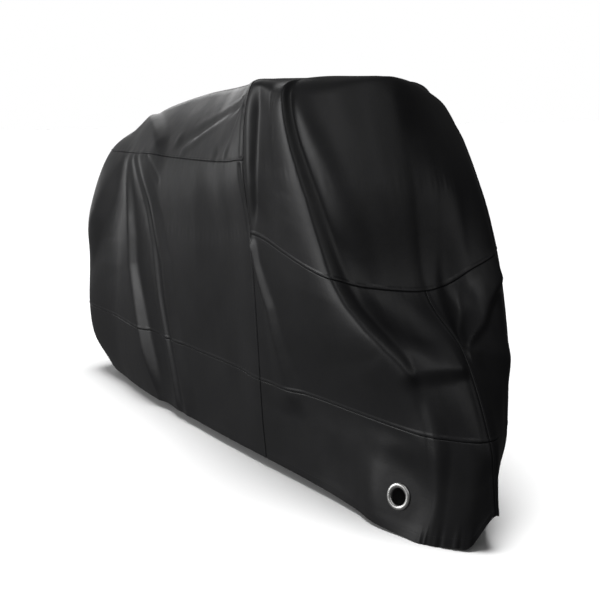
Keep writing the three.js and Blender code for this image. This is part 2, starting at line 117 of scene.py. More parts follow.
# From the rear centre line to the front centre line
LINES = (
    Line(0, (-930, -1020, -1065, -1162, -1206, -1226, -1228, -1220, -1160), (0,) * 9,
         (1094, 1074, 1048, 936, 700, 500, 290, 150, 20)),
    Line(220, (-900, -990, -1034, -1134, -1185, -1204, -1208, -1198, -1136),
         (0, 74, 110, 178, 198, 207, 212, 206, 184), (1099, 1080, 1052, 938, 700, 500, 290, 150, 25)),
    Line(450, (-860, -944, -986, -1072, -1119, -1138, -1140, -1124, -1055),
         (0, 123, 185, 318, 402, 416, 414, 398, 340), (1114, 1086, 1051, 940, 700, 500, 290, 150, 30)),
    Line(740, (-780, -790, -795, -800, -800, -800, -800, -800, -800),
         (0, 127, 190, 320, 365, 377, 383, 372, 345), (1144, 1128, 1098, 945, 700, 500, 290, 150, 30)),
    Line(1050, (-450,) * 9, (0, 112, 170, 312, 338, 349, 354, 348, 337),
         (1186, 1176, 1150, 950, 700, 500, 290, 150, 30)),
    Line(1400, (-100,) * 9, (0, 128, 190, 310, 318, 320, 318, 317, 315),
         (1205, 1200, 1176, 955, 700, 500, 290, 150, 30)),
    Line(1680, (180,) * 9, (0, 176, 250, 320, 305, 296, 287, 286, 285),
         (1212, 1212, 1192, 965, 730, 500, 290, 150, 30)),
    Line(SEAM_MIDDLE, (360,) * 9, (0, 225, 305, 335, 312, 295, 283, 274, 262),
         (1220, 1222, 1202, 980, 755, 500, 290, 150, 30)),
    Line(2060, (440, 455, 470, 500, 540, 590, 630, 636, 640), (0, 210, 285, 305, 285, 255, 215, 216, 222),
         (1224, 1220, 1182, 965, 722, 500, 290, 150, 24)),
    Line(2260, (500, 525, 550, 620, 760, 930, 1018, 1036, 1044), (0, 180, 245, 250, 215, 180, 146, 158, 171),
         (1228, 1222, 1168, 940, 664, 500, 290, 150, 3.2)),
    Line(2420, (560, 590, 620, 720, 820, 1000, 1105, 1108, 1108), (0, 134, 180, 170, 135, 125, 106, 116, 136),
         (1230, 1216, 1160, 930, 645, 500, 290, 150, 1.2)),
    Line(2580, (600, 632, 660, 765, 850, 1040, 1165, 1172, 1175), (0, 68, 90, 85, 65, 60, 58, 70, 88),
         (1229, 1217, 1160, 930, 638, 500, 290, 150, 9)),
    Line(2660, (618, 650, 678, 776, 862, 1052, 1184, 1200, 1200), (0, 30, 40, 42, 30, 28, 30, 42, 56),
         (1228, 1217, 1160, 930, 636, 500, 290, 160, 16)),
    Line(FRONT_CENTRE, (625, 655, 685, 780, 865, 1055, 1188, 1210, 1226), (0,) * 9,
         (1228, 1217, 1160, 930, 636, 500, 290, 195, 100)),
)

# The left side stands further out round the front: these take the place of the lines above
LEFT_FRONT_LINES = (
    Line(SEAM_MIDDLE, (360,) * 9, (0, 222, 300, 332, 312, 295, 283, 274, 262),
         (1220, 1216, 1192, 978, 755, 500, 290, 150, 30)),
    Line(2060, (440, 455, 470, 600, 720, 800, 850, 852, 850), (0, 206, 282, 277, 270, 262, 202, 180, 155),
         (1224, 1188, 1140, 950, 745, 500, 290, 150, 20)),
    Line(2260, (500, 525, 550, 740, 870, 980, 1060, 1060, 1050), (0, 191, 263, 241, 230, 198, 146, 130, 112),
         (1228, 1190, 1136, 950, 728, 510, 290, 150, 30)),
    Line(2420, (560, 590, 620, 790, 890, 1030, 1120, 1116, 1100), (0, 128, 168, 152, 134, 134, 96, 86, 75),
         (1230, 1206, 1146, 930, 690, 500, 290, 160, 50)),
    Line(2580, (600, 632, 660, 790, 875, 1045, 1165, 1175, 1180), (0, 66, 88, 80, 62, 56, 48, 40, 32),
         (1229, 1214, 1158, 930, 652, 500, 290, 180, 84)),
    Line(2660, (618, 650, 678, 784, 870, 1052, 1184, 1204, 1218), (0, 28, 38, 38, 28, 24, 22, 18, 14),
         (1228, 1217, 1160, 930, 640, 500, 290, 190, 94)),
)

R = Side.RIGHT
L = Side.LEFT

FOLDS = (
    # Right rear side panel: facets and creases that fan out from the tail's upper corner
    Fold(R, ((745, 520), (665, 690), (590, 860), (530, 980), (490, 1080)), (-5, -26), (40, 130), (50, 270)),
    Fold(R, ((735, 522), (804, 690), (842, 830), (858, 940), (915, 1075), (978, 1230), (1060, 1450)),
         (8, 40), (40, 500), (34, 44)),
    Fold(R, ((800, 526), (900, 630), (960, 702), (1036, 830), (1068, 948), (1096, 1040), (1170, 1220),
             (1236, 1450)), (6, 12), (26, 60), (16, 24)),
    Fold(R, ((866, 522), (940, 600), (1004, 680), (1064, 790), (1134, 900), (1166, 1030), (1250, 1255),
             (1310, 1450)), (7, 11), (18, 40), (40, 70)),
    Fold(R, ((936, 522), (1002, 558), (1070, 612)), -2.5, (9, 14), (9, 14)),
    Fold(R, ((1500, 540), (1600, 1150)), -5, (120, 200), (120, 200), 1.0),
    # Right rear top panel: the bright facet at the rear and the rays from the hood's seam
    Fold(R, ((470, 232), (618, 306), (750, 354), (906, 438), (978, 480), (1052, 530)), (14, 20),
         (70, 150), (30, 50)),
    Fold(R, ((1800, 345), (1440, 400), (1150, 468)), -8, (14, 46), (14, 46), 0.6),
    Fold(R, ((1790, 335), (1520, 372), (1320, 408), (1128, 462)), 4, (12, 24), (12, 24)),
    Fold(R, ((1800, 340), (1668, 362), (1416, 426), (1224, 500)), 5, (10, 26), (10, 26)),
    Fold(R, ((1805, 350), (1680, 440), (1560, 508)), -5, (10, 30), (10, 30)),
    Fold(R, ((1815, 350), (1740, 420), (1662, 508)), 4, (8, 18), (8, 18)),
    Fold(R, ((1818, 360), (1838, 440), (1842, 512)), -9, (14, 16), (12, 12)),
    Fold(R, ((1826, 526), (1836, 600), (1850, 690), (1852, 752)), -6, (16, 12), (12, 6)),
    # Right hood: the deep trough by the seam, the bright facet and the long crease
    Fold(R, ((1930, 290), (1940, 420), (1936, 510), (1924, 600), (1888, 752)), (-24, -14), (58, 20),
         (130, 180), 0.15),
    Fold(R, ((2036, 296), (2058, 374)), -2, (10, 16), (10, 16)),
    Fold(R, ((2112, 312), (2062, 374)), -2, (10, 16), (10, 16)),
    Fold(R, ((2150, 240), (2176, 306), (2212, 402), (2240, 486), (2256, 570), (2257, 648), (2248, 768),
             (2246, 834), (2262, 906), (2290, 960), (2335, 1010)), (20, 38), (120, 280), (28, 44), 0.15),
    Fold(R, ((2274, 312), (2340, 426), (2368, 492), (2394, 576), (2436, 640), (2502, 730)), 7, (60, 130),
         (110, 170), 1.0),
    # Right front side panel: the fold from the seams' corner, the hollow and its lower lip
    Fold(R, ((1863, 775), (1884, 835), (1940, 930), (1962, 1080), (1978, 1240)), 12, (12, 60), (24, 40)),
    Fold(R, ((2350, 850), (2480, 872), (2620, 915)), -15, (110, 100), (140, 110), 1.0),
    Fold(R, ((2300, 1026), (2430, 1012), (2540, 1006), (2664, 1002), (2710, 998)), (14, 20), (30, 24),
         (80, 90), 0.1),
    # Right front skirt: soft folds round the eyelet and down from the lip
    Fold(R, ((2110, 1300), (2110, 1450)), -7, (70, 70), (70, 70), 1.0),
    Fold(R, ((2170, 1250), (2290, 1246)), 5, (56, 56), (56, 56), 1.0),
    Fold(R, ((2408, 1040), (2415, 1180), (2418, 1450)), (5, 13), (80, 90), (80, 90), 1.0),
    # Left side, from the rear to the front
    Fold(L, ((690, 528), (560, 620), (430, 760), (380, 900)), 8, (30, 90), (14, 190)),
    Fold(L, ((790, 528), (850, 700), (960, 960), (1080, 1450)), 11, (40, 230), (24, 52)),
    Fold(L, ((860, 528), (1010, 760), (1120, 1000), (1230, 1450)), 9, (22, 60), (34, 66)),
    Fold(L, ((1500, 540), (1420, 1150)), -6, (120, 200), (120, 200), 1.0),
    Fold(L, ((1800, 345), (1500, 410), (1240, 490)), -8, (14, 46), (14, 46), 0.5),
    Fold(L, ((1805, 345), (1640, 430), (1520, 508)), 5, (10, 26), (10, 26)),
    Fold(L, ((640, 290), (900, 430), (1000, 508)), 11, (60, 150), (16, 40)),
    Fold(L, ((1910, 315), (1925, 520), (1895, 750)), -20, (26, 16), (48, 28)),
    Fold(L, ((2000, 318), (2020, 520), (1985, 745)), 6, (18, 16), (24, 18)),
    Fold(L, ((2130, 290), (2210, 420), (2225, 640), (2200, 900), (2230, 1080)), 8, (70, 120), (22, 34)),
    Fold(L, ((1864, 775), (1950, 960), (1990, 1240)), 8, (12, 40), (30, 50)),
    Fold(L, ((2480, 762), (2575, 850), (2680, 940)), -26, (110, 34), (150, 30), 0.2),
    Fold(L, ((2240, 815), (2330, 836), (2390, 856), (2475, 893), (2570, 920), (2670, 944)), (13, 20),
         (16, 16), (80, 40)),
    Fold(L, ((2230, 1022), (2340, 1002), (2440, 982), (2692, 958)), 8, (60, 26), (60, 16)),
    Fold(L, ((2100, 1230), (2104, 1450)), -10, (50, 60), (46, 50), 1.0),
    Fold(L, ((2250, 1230), (2250, 1450)), 10, (70, 80), (70, 90), 1.0),
)


def ramp(value: np.ndarray, start: float, end: float) -> np.ndarray:
    """A smooth rise from 0 at start to 1 at end."""
    t = np.clip((value - start) / (end - start), 0.0, 1.0)
    return t * t * (3.0 - 2.0 * t)


def between(ends: tuple[float, float], share: np.ndarray) -> np.ndarray:
    """The values at some shares of the way from the first end to the second."""
    return ends[0] + (ends[1] - ends[0]) * share


def read_off(places: np.ndarray, knots: np.ndarray, values: np.ndarray) -> np.ndarray:
    """Straight interpolation of values, n by 3, from their knots to other places."""
    return np.stack([np.interp(places, knots, column) for column in values.T], -1)


def slopes(knots: np.ndarray, points: np.ndarray) -> np.ndarray:
    """The slope at each knot from its neighbours.

    Args:
        knots: Places of the knots, rising.
        points: Values at the knots along the first axis.

    Returns:
        Slopes of the same shape as points.
    """
    shape = (-1,) + (1,) * (points.ndim - 1)
    out = np.empty_like(points)
    out[1:-1] = (points[2:] - points[:-2]) / (knots[2:] - knots[:-2]).reshape(shape)
    out[0] = (points[1] - points[0]) / (knots[1] - knots[0])
    out[-1] = (points[-1] - points[-2]) / (knots[-1] - knots[-2])
    return out


def on_curve(knots: np.ndarray, points: np.ndarray, tangents: np.ndarray,
             values: np.ndarray) -> np.ndarray:
    """Points of the smooth curve through the knots.

    Args:
        knots: Places of the knots, rising.
        points: Values at the knots along the first axis.
        tangents: Slopes at the knots.
        values: Places to work out.

    Returns:
        One value for each place, along the first axis.
    """
    i = np.clip(np.searchsorted(knots, values, side="right") - 1, 0, len(knots) - 2)
    shape = (-1,) + (1,) * (points.ndim - 1)
    span = (knots[i + 1] - knots[i]).reshape(shape)
    s = ((values - knots[i]) / (knots[i + 1] - knots[i])).reshape(shape)
    s2 = s * s
    s3 = s2 * s
    return ((2 * s3 - 3 * s2 + 1) * points[i] + (s3 - 2 * s2 + s) * span * tangents[i]
            + (3 * s2 - 2 * s3) * points[i + 1] + (s3 - s2) * span * tangents[i + 1])


@dataclass(frozen=True)
class Seam:
    """One sewn seam: level or upright, where it lies, and the stretch it runs over."""

    level: bool
    at: float
    start: float
    end: float


SEAMS = (
    Seam(True, SEAM_SKIRT, 0.0, FRONT_CENTRE),
    Seam(True, SEAM_UPPER, 0.0, SEAM_MIDDLE),
    Seam(True, SEAM_HOOD, SEAM_MIDDLE, FRONT_CENTRE),
    Seam(False, SEAM_MIDDLE, 0.0, HEM),
    Seam(False, FRONT_CENTRE, SEAM_HOOD, HEM),
    Seam(False, 0.0, SEAM_UPPER, HEM),
)


@dataclass(frozen=True)
class EyeletSeat:
    """Where an eyelet sits: its centre, its normal and the way the draped cloth faced there."""

    centre: np.ndarray
    normal: np.ndarray
    faced: np.ndarray

    def turn(self) -> Matrix:
        """The turn that takes Z to the seat's normal."""
        return Vector((0, 0, 1)).rotation_difference(Vector(self.normal)).to_matrix()


@dataclass
class Drape:
    """The draped skin of the cover, as a function of the place along and down the cloth."""

    crown_slope: float = 0.25       # how level the cloth starts at the crown
    crest: float = 5.0              # half width over which a fold's two flanks blend
    crest_round: float = 0.022
    foot_round: float = 0.03
    flank_end: float = 1.7
    end_reach: float = 0.6          # how far a fold runs out past the ends of its path
    edge_fade: float = 90.0
    pucker_height: float = 0.22
    pucker_reach: float = 16.0
    # Share and length of each wave, and how many times it takes the phase
    pucker_waves: tuple[tuple[float, float, int], ...] = ((1.0, 5.3, 1), (0.7, 8.9, 2), (0.5, 3.1, 0))
    pucker_phase: dict[Side, float] = field(default_factory=lambda: {R: 1.7, L: 4.1})
    gather_front: tuple[float, float, float] = (2240.0, 2400.0, 2650.0)
    gather_tail: tuple[float, float] = (330.0, 620.0)
    gather_heights: tuple[float, float] = (1.2, 2.4)
    gather_top: float = 1380.0
    gather_power: float = 1.5
    gather_lengths: tuple[float, float, float] = (9.5, 31.0, 5.7)
    gather_sway: float = 0.6
    gather_fine: float = 0.5
    eyelet_along: dict[Side, float] = field(default_factory=lambda: {R: 2236.0, L: 2165.0})
    eyelet_down: float = 1370.0
    eyelet_yaw: float = 14.0
    eyelet_pitch: float = 5.0
    eyelet_sink: float = 9.0
    flat_radius: float = 58.0
    flat_fade: float = 190.0
    seam_lap: float = 9.0
    seam_height: float = 0.9
    lap_rise: float = 1.5
    lap_edge: float = 1.6
    groove_half: float = 2.3
    groove_depth: float = 1.9
    hem_turn: float = 24.0
    hem_height: float = 0.7
    seats: dict[Side, EyeletSeat] = field(init=False)
    curves: dict[Side, tuple[np.ndarray, np.ndarray, np.ndarray]] = field(init=False)

    def __post_init__(self) -> None:
        """Works out the curves of both sides and the eyelets' seats."""
        self.curves = {side: self._side_curves(side) for side in Side}
        self.seats = {side: self._seat(side) for side in Side}

    def _side_curves(self, side: Side) -> tuple[np.ndarray, np.ndarray, np.ndarray]:
        """The curves along one side.

        Args:
            side: Which side of the cover.

        Returns:
            The knots, points and slopes of its lines.
        """
        own = {line.at: line for line in LEFT_FRONT_LINES} if side is L else {}
        lines = [own.get(line.at, line) for line in LINES]
        knots = np.array([line.at for line in lines], float)
        points = np.array([[line.x, np.array(line.y) * side.value, line.z] for line in lines], float)
        points = points.transpose(0, 2, 1)
        tangents = slopes(knots, points)
        tangents[0, :, (0, 2)] = 0.0
        tangents[-1, :, (0, 2)] = 0.0
        return knots, points, tangents

    def _seat(self, side: Side) -> EyeletSeat:
        """The flat seat of an eyelet.

        Args:
            side: Which side of the cover.

        Returns:
            Its seat, sunk and turned from the draped form.
        """
        spot = Patch(side, np.array([self.eyelet_along[side]]), np.array([self.eyelet_down]))
        faced = self.normals(self.base, spot)[0, 0]
        centre = self.base(spot)[0, 0] - faced * self.eyelet_sink
        normal = Matrix.Rotation(math.radians(self.eyelet_yaw) * -side.value, 3, "Z") @ Vector(faced)
        level = Vector((normal.y, -normal.x, 0.0)).normalized()
        normal = Matrix.Rotation(math.radians(self.eyelet_pitch), 3, level) @ normal
        return EyeletSeat(centre, np.array(normal), faced)

    def base(self, patch: Patch) -> np.ndarray:
        """The draped form without its folds.

        Args:
            patch: The places.

        Returns:
            Points, n by m by 3, in millimetres.
        """
        knots, points, tangents = self.curves[patch.side]
        levels = on_curve(knots, points, tangents, patch.along).transpose(1, 0, 2)
        downs = np.array(DOWN)
        falls = slopes(downs, levels)
        falls[0, :, 2] *= self.crown_slope
        return on_curve(downs, levels, falls, patch.down).transpose(1, 0, 2)

    def normals(self, place: Callable[[Patch], np.ndarray], patch: Patch, reach: float = 4.0) -> np.ndarray:
        """Outward normals of a surface.

        Args:
            place: The method that gives the surface, such as base or skin.
            patch: The places.
            reach: Half the step of the difference, in millimetres.

        Returns:
            Unit normals, n by m by 3.
        """
        along, down = patch.along, patch.down
        forward = (place(replace(patch, along=np.minimum(along + reach, FRONT_CENTRE)))
                   - place(replace(patch, along=np.maximum(along - reach, 0.0))))
        downward = (place(replace(patch, down=np.minimum(down + reach, HEM)))
                    - place(replace(patch, down=np.maximum(down - reach, 0.0))))
        out = np.cross(forward, downward) * patch.side.value
        out[(along <= 0.0) | (along >= FRONT_CENTRE), :, 1] = 0.0
        out[:, down <= 0.0, 1] = 0.0
        return out / np.maximum(np.linalg.norm(out, axis=-1, keepdims=True), TINY)

    def fold_lift(self, fold: Fold, patch: Patch) -> np.ndarray:
        """How far one fold lifts the cloth.

        Args:
            fold: The fold.
            patch: The places.

        Returns:
            Heights, n by m, in millimetres.
        """
        path = np.array(fold.path, float)
        reach = self.flank_end * max(*fold.before, *fold.after)
        near = [(places > path[:, k].min() - reach) & (places < path[:, k].max() + reach)
                for k, places in enumerate((patch.along, patch.down))]
        out = np.zeros((len(patch.along), len(patch.down)))
        if not (near[0].any() and near[1].any()):
            return out
        a, d = np.meshgrid(patch.along[near[0]], patch.down[near[1]], indexing="ij")
        steps = np.diff(path, axis=0)
        lengths = np.linalg.norm(steps, axis=1)
        total = lengths.sum()
        starts = np.concatenate([[0.0], np.cumsum(lengths)])
        apart = np.full(a.shape, np.inf)
        run = np.zeros(a.shape)
        hand = np.zeros(a.shape)
        for i, (start, step, length) in enumerate(zip(path[:-1], steps, lengths)):
            da, dd = a - start[0], d - start[1]
            t = (da * step[0] + dd * step[1]) / length ** 2
            t = np.clip(t, -np.inf if i == 0 else 0.0, np.inf if i == len(steps) - 1 else 1.0)
            off = np.hypot(da - t * step[0], dd - t * step[1])
            nearer = off < apart
            apart = np.where(nearer, off, apart)
            run = np.where(nearer, (starts[i] + t * length) / total, run)
            hand = np.where(nearer, (step[0] * dd - step[1] * da) / length, hand)
        share = np.clip(run, 0.0, 1.0)
        before, after = between(fold.before, share), between(fold.after, share)
        away = apart / (after + (before - after) * ramp(hand, -self.crest, self.crest))
        fade = (before + after) / 2 / total
        ends = ramp(run / fade, -self.end_reach, 1.0) * (1.0 - ramp((run - 1.0) / fade, -1.0, self.end_reach))
        shape = (1.0 - fold.softness) * self.flank(away) + fold.softness * (1.0 - ramp(away, 0.0, 1.0))
        out[np.ix_(*near)] = between(fold.heights, share) * shape * ends
        return out

    def flank(self, away: np.ndarray) -> np.ndarray:
        """The profile of a fold with straight flanks.

        Args:
            away: Distance from the crest, as a share of the half width.

        Returns:
            Heights, from 1 on the crest to 0.
        """
        def raw(value: np.ndarray | float) -> np.ndarray:
            """The profile before it is brought to 0 at its end."""
            top = 1.0 - np.sqrt(value * value + self.crest_round) + math.sqrt(self.crest_round)
            return 0.5 * (top + np.sqrt(top * top + self.foot_round))

        end = raw(self.flank_end)
        return np.maximum(raw(away) - end, 0.0) / (raw(0.0) - end)

    def lift(self, patch: Patch) -> np.ndarray:
        """All folds, puckers and gathers, which fade to nothing at the centre lines and the crown.

        Args:
            patch: The places.

        Returns:
            Heights over the draped form, n by m, in millimetres.
        """
        total = sum(self.fold_lift(fold, patch) for fold in FOLDS if fold.side is patch.side)
        total = total + self.puckers(patch) + self.gathers(patch)
        near_front = 1.0 - ramp(patch.along, FRONT_CENTRE - self.edge_fade / 3, FRONT_CENTRE)
        edges = (ramp(patch.along, 0.0, self.edge_fade) * near_front)[:, None]
        return total * edges * ramp(patch.down, 0.0, self.edge_fade)[None, :]

    def puckers(self, patch: Patch) -> np.ndarray:
        """Small uneven puckers where the thread draws a long seam in.

        Args:
            patch: The places.

        Returns:
            Heights, n by m, in millimetres.
        """
        phase = self.pucker_phase[patch.side]
        wave = sum(share * np.sin(patch.along / length + turns * phase)
                   for share, length, turns in self.pucker_waves)[:, None]
        rows = sum(np.exp(-np.abs(patch.down - seam) / self.pucker_reach)
                   for seam in (SEAM_UPPER, SEAM_HOOD, SEAM_SKIRT))
        return self.pucker_height * wave * rows[None, :]

    def gathers(self, patch: Patch) -> np.ndarray:
        """The hem drawn in round the front and the tail.

        Args:
            patch: The places.

        Returns:
            Heights, n by m, in millimetres.
        """
        start, full, end = self.gather_front
        front = ramp(patch.along, start, full) * (1.0 - ramp(patch.along, end, FRONT_CENTRE))
        tail = 1.0 - ramp(patch.along, *self.gather_tail)
        main, drift, fine = (patch.along / length for length in self.gather_lengths)
        wave = np.sin(main + self.gather_sway * np.sin(drift)) + self.gather_fine * np.sin(fine + 1.0)
        fall = ramp(patch.down, self.gather_top, HEM) ** self.gather_power
        heights = self.gather_heights[0] * front + self.gather_heights[1] * tail
        return (wave * heights)[:, None] * fall[None, :]

    def folded(self, patch: Patch) -> np.ndarray:
        """The draped form with its folds, n by m by 3."""
        return self.base(patch) + self.normals(self.base, patch) * self.lift(patch)[..., None]

    def skin(self, patch: Patch) -> np.ndarray:
        """The cover's outer face, flat round the eyelet.

        Args:
            patch: The places.

        Returns:
            Points, n by m by 3, in millimetres.
        """
        place = self.folded(patch)
        seat = self.seats[patch.side]
        apart = np.linalg.norm(place - seat.centre, axis=-1)
        share = 1.0 - ramp(apart, self.flat_radius, self.flat_fade)
        depth = (seat.centre - place) @ seat.normal / (seat.faced @ seat.normal)
        return place + seat.faced * (depth * share)[..., None]

    def spacing(self, side: Side, along: float, down: np.ndarray, reach: float = 5.0) -> np.ndarray:
        """How much wider the cloth lies than its places along say.

        Args:
            side: Which side of the cover.
            along: The place along.
            down: Places down, m of them.
            reach: Half the step of the difference.

        Returns:
            Real millimetres for each millimetre along, m of them.
        """
        low, high = max(along - reach, 0.0), min(along + reach, FRONT_CENTRE)
        ends = self.base(Patch(side, np.array([low, high]), down))
        return np.linalg.norm(ends[1] - ends[0], axis=-1) / (high - low)

    def relief(self, patch: Patch) -> np.ndarray:
        """The laps and grooves of the sewn seams and the turned hem.

        Args:
            patch: The places.

        Returns:
            Heights over the skin, n by m, in millimetres.
        """
        a, d = patch.along[:, None], patch.down[None, :]
        out = np.zeros((len(patch.along), len(patch.down)))
        for seam in SEAMS:
            if seam.level:
                away = np.broadcast_to(seam.at - d, out.shape)
                inside = (a >= seam.start) & (a <= seam.end)
            else:
                away = (seam.at - a) * self.spacing(patch.side, seam.at, patch.down)[None, :]
                inside = (d >= seam.start) & (d <= seam.end)
            raised = ramp(away, 0.0, self.lap_rise)
            raised = raised * (1.0 - ramp(away, self.seam_lap, self.seam_lap + self.lap_edge))
            groove = 1.0 - ramp(np.abs(away), 0.0, self.groove_half)
            out += inside * (self.seam_height * raised - self.groove_depth * groove)
        return out + self.hem_height * ramp(HEM - d, self.hem_turn + self.lap_edge, self.hem_turn)

    def face(self, patch: Patch) -> np.ndarray:
        """The outer face with its seams, n by m by 3."""
        return self.skin(patch) + self.normals(self.skin, patch) * self.relief(patch)[..., None]

    def tucked(self, patch: Patch, depth: float | np.ndarray) -> np.ndarray:
        """A seam allowance turned in by some depth under the panel beside it, n by m by 3."""
        return self.skin(patch) - self.normals(self.skin, patch) * depth


def linear(hex_colour: str) -> tuple[float, float, float, float]:
    """An sRGB hex colour as the linear colour that a shader takes."""
    parts = [int(hex_colour[i:i + 2], 16) / 255 for i in (1, 3, 5)]
    return (*[v / 12.92 if v <= 0.04045 else ((v + 0.055) / 1.055) ** 2.4 for v in parts], 1.0)


def add_node(tree: bpy.types.NodeTree, kind: str, settings: dict[str, object] | None = None,
             **inputs: object) -> bpy.types.Node:
    """Adds a node with its settings, and sets or links its inputs.

    Args:
        tree: The node tree.
        kind: The node's type name.
        settings: Attributes of the node.
        **inputs: A value or a socket to link for each input, by its name with _ for a space, or by i
            and its number.

    Returns:
        The new node.
    """
    node = tree.nodes.new(kind)
    for name, value in (settings or {}).items():
        setattr(node, name, value)
    for name, value in inputs.items():
        key = int(name[1:]) if name[0] == "i" and name[1:].isdigit() else name.replace("_", " ")
        if isinstance(value, bpy.types.NodeSocket):
            tree.links.new(value, node.inputs[key])
        else:
            node.inputs[key].default_value = value
    return node


@dataclass(frozen=True)
class Noise:
    """A noise of one size on the object, in real millimetres."""

    size_mm: float
    detail: float
    roughness: float = 0.5

    def add(self, tree: bpy.types.NodeTree, place: bpy.types.Node) -> bpy.types.NodeSocket:
        """Adds the noise at a coordinate node's object coordinates, and gives its value."""
        return add_node(tree, "ShaderNodeTexNoise", Vector=place.outputs["Object"], Detail=self.detail,
                        Scale=1 / METRES / self.size_mm, Roughness=self.roughness).outputs["Fac"]


@dataclass(frozen=True)
class Bump:
    """A bump of some strength and depth in metres."""

    strength: float
    distance: float

    def add(self, tree: bpy.types.NodeTree, height: bpy.types.NodeSocket,
            **under: bpy.types.NodeSocket) -> bpy.types.NodeSocket:
        """Adds the bump over the normal under it, where there is one, and gives the new normal."""
        return add_node(tree, "ShaderNodeBump", Strength=self.strength, Distance=self.distance, Height=height,
                        **under).outputs["Normal"]


@dataclass(frozen=True)
class Finish:
    """The name and colour of a finish. Each kind of finish has its own shader."""

    name: str
    colour: str

    def shader(self, tree: bpy.types.NodeTree) -> bpy.types.Node:
        """Adds the finish's shader to the tree, and gives it."""
        raise NotImplementedError

    def make(self) -> bpy.types.Material:
        """Makes the material.

        Returns:
            The new material, with its shader linked.
        """
        material = bpy.data.materials.new(self.name)
        material.use_nodes = True
        material.node_tree.nodes.clear()
        shader = self.shader(material.node_tree)
        add_node(material.node_tree, "ShaderNodeOutputMaterial", Surface=shader.outputs["BSDF"])
        return material


@dataclass(frozen=True)
class CoatedPolyester(Finish):
    """Woven polyester with a thin polyurethane coat: near black, with a soft broad gloss.

    The eye gets a calm dark face that lights up along folds, a faint weave close by, and slight
    crinkles where the coated cloth has been packed.
    """

    name: str = "coated_polyester"
    colour: str = "#1b1b1d"
    worn_colour: str = "#2b2b2d"
    roughness: float = 0.42
    weave_mm: float = 9.475     # a faint grid: the threads, 0.4 mm apart, are too fine to draw
    wave_radians: float = 20.0  # of the wave texture, for each unit at scale 1
    mottle_range: tuple[float, float] = (0.3, 0.7)
    gloss_range: tuple[float, float] = (-0.05, 0.06)
    mottle: Noise = Noise(170.0, 3.0, 0.55)
    mottle_bump: Bump = Bump(0.35, 0.004)
    crinkle: Noise = Noise(46.0, 4.0)
    crinkle_bump: Bump = Bump(0.4, 0.0014)
    weave_bump: Bump = Bump(0.10, 0.0003)

    def shader(self, tree: bpy.types.NodeTree) -> bpy.types.Node:
        """The cloth's shader.

        Args:
            tree: The material's node tree.

        Returns:
            The shader node.
        """
        place = add_node(tree, "ShaderNodeTexCoord")
        mottle = self.mottle.add(tree, place)
        crinkle = self.crinkle.add(tree, place)
        scale = 2 * math.pi / METRES / self.wave_radians / self.weave_mm
        warp, weft = (add_node(tree, "ShaderNodeTexWave", {"wave_type": "BANDS", "bands_direction": axis},
                               Vector=place.outputs["UV"], Scale=scale).outputs["Fac"] for axis in "XY")
        weave = add_node(tree, "ShaderNodeMath", {"operation": "MAXIMUM"}, i0=warp, i1=weft)
        colour = add_node(tree, "ShaderNodeMix", {"data_type": "RGBA"}, Factor=mottle, A=linear(self.colour),
                          B=linear(self.worn_colour))
        low, high = (self.roughness + change for change in self.gloss_range)
        gloss = add_node(tree, "ShaderNodeMapRange", Value=mottle, From_Min=self.mottle_range[0],
                         From_Max=self.mottle_range[1], To_Min=low, To_Max=high)
        normal = self.mottle_bump.add(tree, mottle)
        normal = self.crinkle_bump.add(tree, crinkle, Normal=normal)
        normal = self.weave_bump.add(tree, weave.outputs["Value"], Normal=normal)
        return add_node(tree, "ShaderNodeBsdfPrincipled", Base_Color=colour.outputs["Result"],
                        Roughness=gloss.outputs["Result"], Normal=normal, IOR=1.5)


@dataclass(frozen=True)
class PolyesterThread(Finish):
    """Black bonded polyester thread, a little paler than the cloth, so the stitches just show."""

    name: str = "polyester_thread"
    colour: str = "#3a3a3d"
    roughness: float = 0.6
    ply: Noise = Noise(1.1, 1.0)
    ply_bump: Bump = Bump(0.3, 0.0002)

    def shader(self, tree: bpy.types.NodeTree) -> bpy.types.Node:
        """The thread's shader."""
        ply = self.ply.add(tree, add_node(tree, "ShaderNodeTexCoord"))
        return add_node(tree, "ShaderNodeBsdfPrincipled", Base_Color=linear(self.colour),
                        Roughness=self.roughness, Normal=self.ply_bump.add(tree, ply))


@dataclass(frozen=True)
class NickelledBrass(Finish):
    """Nickel-plated brass, rolled and tumbled: bright and silvery, with faint handling marks."""

    name: str = "nickelled_brass"
    colour: str = "#e6e6e4"
    roughness: float = 0.26
    roughness_marked: float = 0.40
    marks: Noise = Noise(6.0, 5.0, 0.65)
    marks_range: tuple[float, float] = (0.35, 0.7)
    marks_bump: Bump = Bump(0.12, 0.0003)

    def shader(self, tree: bpy.types.NodeTree) -> bpy.types.Node:
        """The metal's shader.

        Args:
            tree: The material's node tree.

        Returns:
            The shader node.
        """
        marks = self.marks.add(tree, add_node(tree, "ShaderNodeTexCoord"))
        gloss = add_node(tree, "ShaderNodeMapRange", Value=marks, From_Min=self.marks_range[0],
                         From_Max=self.marks_range[1], To_Min=self.roughness, To_Max=self.roughness_marked)
        return add_node(tree, "ShaderNodeBsdfPrincipled", Base_Color=linear(self.colour), Metallic=1.0,
                        Roughness=gloss.outputs["Result"], Normal=self.marks_bump.add(tree, marks))


@dataclass(frozen=True)
class PaleSweep(Finish):
    """The pale matt floor: plain white, so that only the soft shadow under the hem shows on it."""

    name: str = "pale_sweep"
    colour: str = "#f4f4f4"

    def shader(self, tree: bpy.types.NodeTree) -> bpy.types.Node:
        """The floor's shader."""
        return add_node(tree, "ShaderNodeBsdfPrincipled", Base_Color=linear(self.colour), Roughness=0.9,
                        Specular_IOR_Level=0.0)


def only(piece: bpy.types.Object) -> None:
    """Makes one piece the active and only selected one, because operators act on all that is selected.

    Args:
        piece: The piece.
    """
    bpy.ops.object.select_all(action="DESELECT")
    piece.select_set(True)
    bpy.context.view_layer.objects.active = piece


